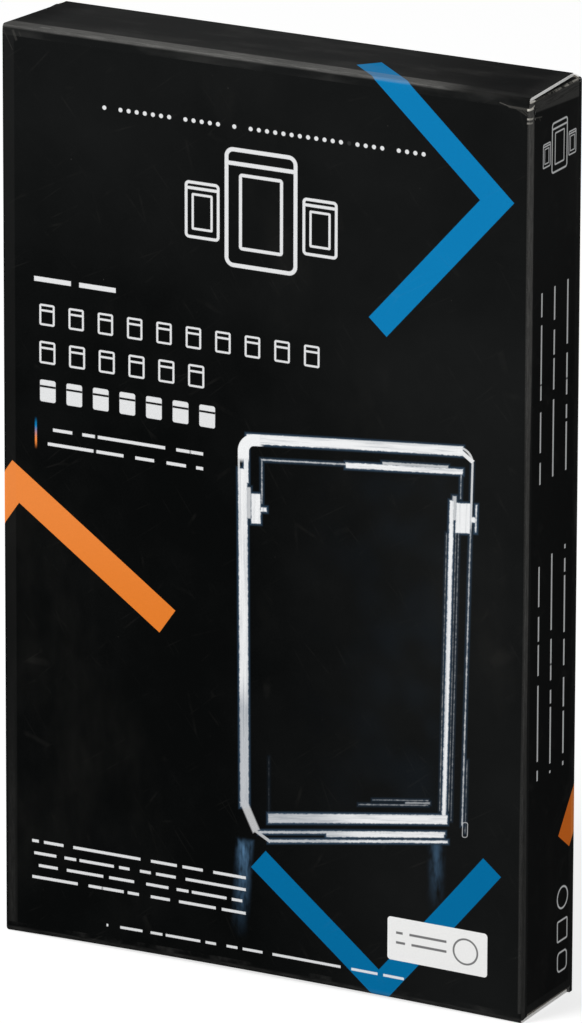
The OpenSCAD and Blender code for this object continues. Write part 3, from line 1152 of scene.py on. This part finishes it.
def flapPlace(side, top):
    d = dustFlaps
    edge, level, seam, tip = carton["halfWide"], d["level"], d["seam"], d["tip"]
    front, rear = -carton["frontTab"], carton["rearTab"]

    def place(u, q):
        y = u - sideMiddle
        radius = d["topBend"] - d["topBendSpread"] * np.clip(y / 8.0, -1, 1) if top else d["bottomBend"] + 0 * y
        turnAt = level - radius
        t = np.clip(q - 2, 0, 1)
        bend = np.clip(q - 1, 0, 1) * math.pi / 2
        x = edge - radius + radius * np.cos(bend) - t * (edge - radius - tip)
        z = seam + np.clip(q, 0, 1) * (turnAt - seam) + radius * np.sin(bend)
        s = np.clip(q, 0, 1) * (turnAt - seam) + radius * bend + t * (edge - radius - tip)
        share = (y - front) / (rear - front)
        tight = d["tipRound"] * (1 - np.sqrt(1 - np.clip((t - 0.85) / 0.15, 0, 1) ** 2))
        taper = np.clip((t - 0.05) / 0.95, 0, 1)
        begin = front + (d["tipFront"] - front) * taper + tight
        ending = rear - 1.1 * smooth(t, 0.0, 0.15) + (d["tipRear"] - rear + 1.1) * taper - tight
        y = begin + (ending - begin) * share
        outward = np.column_stack([side * np.cos(bend), 0 * y, np.sin(bend)])
        if not top:
            z = carton["high"] - z
            outward[:, 2] *= -1
        v = seam + s if top else carton["high"] - seam - s
        return np.column_stack([side * x, y, z]), outward, np.column_stack([side * u, v])

    return place


def gluePlace(u, v):
    taper = 1 - 4.0 / 85.0 * np.clip(-u / 4.3, 0, 1)
    z = 90.0 + (v - 90.0) * taper
    ones = np.ones(len(u))
    outward = np.column_stack([-ones, 0 * u, 0 * u])
    return np.column_stack([-54.9 * ones, u, z]), outward, np.column_stack([u, z])


def makeBoards():
    lines = boardLines
    films = {}
    for seed, (name, art, wearAndPaintedLight, shade, knocks) in enumerate((
        ("front_print", frontArt, frontWearAndPaintedLight, frontPaintedLight, frontKnocks),
        ("right_side_print", rightArt, sideWearAndPaintedLight, sidePaintedLight, cornerMarks),
        ("left_side_print", leftArt, sideWearAndPaintedLight, sidePaintedLight, cornerMarks),
        ("back_print", rearArt, rearWear, plainShade, None),
        ("top_lid_print", lidArt, lidWearAndPaintedLight, lidPaintedLight, cornerMarks),
        ("bottom_lid_print", footArt, footWear, frontPaintedLight, None),
        ("plain_black_print", noArt, noWear, plainShade, None),
        ("dust_flap_print", noArt, flapWearAndPaintedLight, plainShade, flapKnocks),
    )):
        films[name] = (filmFinish(name, art, wearAndPaintedLight, shade, knocks, 1.0 + seed), inside, rawRim)

    stiff = [
        ("front_panel", lines["frontAcross"], lines["frontUp"], frontPlace, frontKeep, "front_print"),
        ("back_panel", lines["rearAcross"], lines["rearUp"], rearPlace, None, "back_print"),
        ("right_side_panel", lines["sideAcross"], lines["sideUp"], uprightPlace, None, "right_side_print"),
        ("left_side_panel", -lines["sideAcross"][::-1], lines["sideUp"], uprightPlace, None, "left_side_print"),
        ("glue_flap", spaced(-4.3, 9.7, 0.7), spaced(5.0, 175.0, 1.7), gluePlace, None, "plain_black_print"),
    ]
    for node, us, vs, place, keep, film in stiff:
        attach(boardShell(node, us, vs, place, keep, films[film]), "carton")

    for top in (True, False):
        end = "top" if top else "bottom"
        place, climb, flatFrom, flatTo, last = lidPlace(top)
        seam = flatTo - 1.0
        rows = spaced(0.0, climb, 0.30, flatFrom, 0.12, flatFrom + 4.0, 0.5, seam, 0.9)
        lid = boardShell(f"{end}_lid_panel", lines["lidAcross"], rows, place, None, films[f"{end}_lid_print"])
        rows = spaced(seam, flatTo, 0.35, last - carton["tongueLong"], 0.14, last - 5.0, 0.6, last, 0.30)
        film = films["top_lid_print" if top else "plain_black_print"]
        tongue = boardShell(f"{end}_tuck_tongue", lines["lidAcross"], rows, place, None, film)

        def at(y, z):
            return (0.0, y * mm, (z if top else carton["high"] - z) * mm)

        at(-10.6, 178.35)
        at(-9.475, 179.475)
        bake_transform(lid)
        at(8.375, 179.175)
        at(8.85, 178.70)
        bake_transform(tongue)
        for side, word in ((1.0, "right"), (-1.0, "left")):
            across = spaced(seamFront, seamBack, 0.6)
            rows = np.concatenate([spaced(0.0, 1.0, 0.25), spaced(1.0, 2.0, 0.10)[1:], spaced(2.0, 3.0, 0.06)[1:]])
            flapAt = flapPlace(side, top)
            flap = boardShell(f"{end}_dust_flap_{word}", across, rows, flapAt, None, films["dust_flap_print"])
            low = (side * 54.9 * mm, 0.0, at(0.0, 177.15)[2])
            high = (side * 53.9 * mm, 0.0, at(0.0, 178.15)[2])
            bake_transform(flap)


makeBoards()
print("carton boards made")

# The clear case: polished bars and plates, and plated magnets
clearCase = {
    "edge": 0.35,
    "magnetRound": 0.35,
    "turns": 64,
}


def clearFinish():
    made, tree, shader = newMaterial("polished_clear")
    p = objectPlace(tree)
    haze = cloud(p, 0.25, 3.0, 0.6)
    colour = p.put(
        "Mix", {"data_type": "RGBA"}, {0: haze, 6: fromScreen(236, 246, 250), 7: fromScreen(252, 254, 255)}, 2
    )
    hair = rise(cloud(p, 1.2, 3.0, 0.7, (1.0, 1.0, 0.08)), 0.60, 0.85, 0.05)
    feed(shader, Base_Color=colour, Roughness=haze * 0.03 + hair + 0.005, IOR=1.49)
    feed(shader, Transmission_Weight=1.0)
    return made


def nickelFinish():
    made, tree, shader = newMaterial("bright_nickel")
    p = objectPlace(tree)
    turned = cloud(p, 1.1, 4.0, 0.7)
    fine = cloud(p, 9.0, 2.0, 0.6)
    colour = p.put(
        "Mix", {"data_type": "RGBA"}, {0: turned, 6: fromScreen(190, 188, 182), 7: fromScreen(232, 230, 224)}, 2
    )
    feed(shader, Base_Color=colour, Roughness=0.12 + fine * 0.14, Metallic=1.0)
    return made


def polished(node, finish):
    # The same solid with its arrises broken, as cut and polished acrylic has
    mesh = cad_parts[node].data.copy()
    work = bmesh.new()
    work.from_mesh(mesh)
    bmesh.ops.remove_doubles(work, verts=work.verts, dist=2e-6)
    bmesh.ops.dissolve_limit(work, angle_limit=math.radians(1.0), verts=work.verts, edges=work.edges)
    corners = [e for e in work.edges if len(e.link_faces) == 2 and e.calc_face_angle(0.0) > math.radians(50)]
    bmesh.ops.bevel(
        work, geom=corners, offset=clearCase["edge"] * mm, segments=2, profile=0.5,
        affect="EDGES", clamp_overlap=True,
    )
    bmesh.ops.recalc_face_normals(work, faces=work.faces)
    fresh = bpy.data.meshes.new(cleanName(node))
    work.to_mesh(fresh)
    work.free()
    bpy.data.meshes.remove(mesh)
    fresh.shade_smooth()
    fresh.set_sharp_from_angle(angle=math.radians(32))
    fresh.materials.append(finish)
    piece = bpy.data.objects.new(cleanName(node), fresh)
    scene.collection.objects.link(piece)
    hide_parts(node)
    return piece


def magnet(node, finish):
    # A plated disc with rounded rims
    low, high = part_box(node)
    middle = (low + high) / 2
    radius, half = (high.x - low.x) / 2, (high.z - low.z) / 2
    rim = clearCase["magnetRound"] * mm
    profile = [(0.0, -half)]
    for step in range(5):
        turn = math.pi / 2 * step / 4
        profile.append((radius - rim + rim * math.sin(turn), -half + rim - rim * math.cos(turn)))
    profile += [(r, -z) for r, z in reversed(profile)]
    count = clearCase["turns"]
    verts = [(0.0, 0.0, -half), (0.0, 0.0, half)]
    rings = profile[1:-1]
    for r, z in rings:
        for k in range(count):
            turn = 2 * math.pi * k / count
            verts.append((r * math.cos(turn), r * math.sin(turn), z))
    faces = []
    for k in range(count):
        after = (k + 1) % count
        faces.append((0, 2 + after, 2 + k))
        top = 2 + (len(rings) - 1) * count
        faces.append((1, top + k, top + after))
        for ring in range(len(rings) - 1):
            a = 2 + ring * count
            faces.append((a + k, a + after, a + count + after, a + count + k))
    mesh = bpy.data.meshes.new(cleanName(node))
    mesh.from_pydata([(x + middle.x, y + middle.y, z + middle.z) for x, y, z in verts], [], faces)
    mesh.shade_smooth()
    mesh.set_sharp_from_angle(angle=math.radians(40))
    mesh.materials.append(finish)
    piece = bpy.data.objects.new(cleanName(node), mesh)
    scene.collection.objects.link(piece)
    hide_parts(node)
    return piece


def makeCase():
    clear, nickel = clearFinish(), nickelFinish()
    for part in ("base", "lid"):
        cross = "bottom_bar" if part == "base" else "top_bar"
        for word in (cross, "left_bar", "right_bar", "front_plate", "back_plate"):
            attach(polished(f"{part}_{word}", clear), f"case_{part}")
        for word in ("left", "right"):
            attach(magnet(f"{part}_magnet_{word}", nickel), f"case_{part}")


makeCase()
print("clear case made")
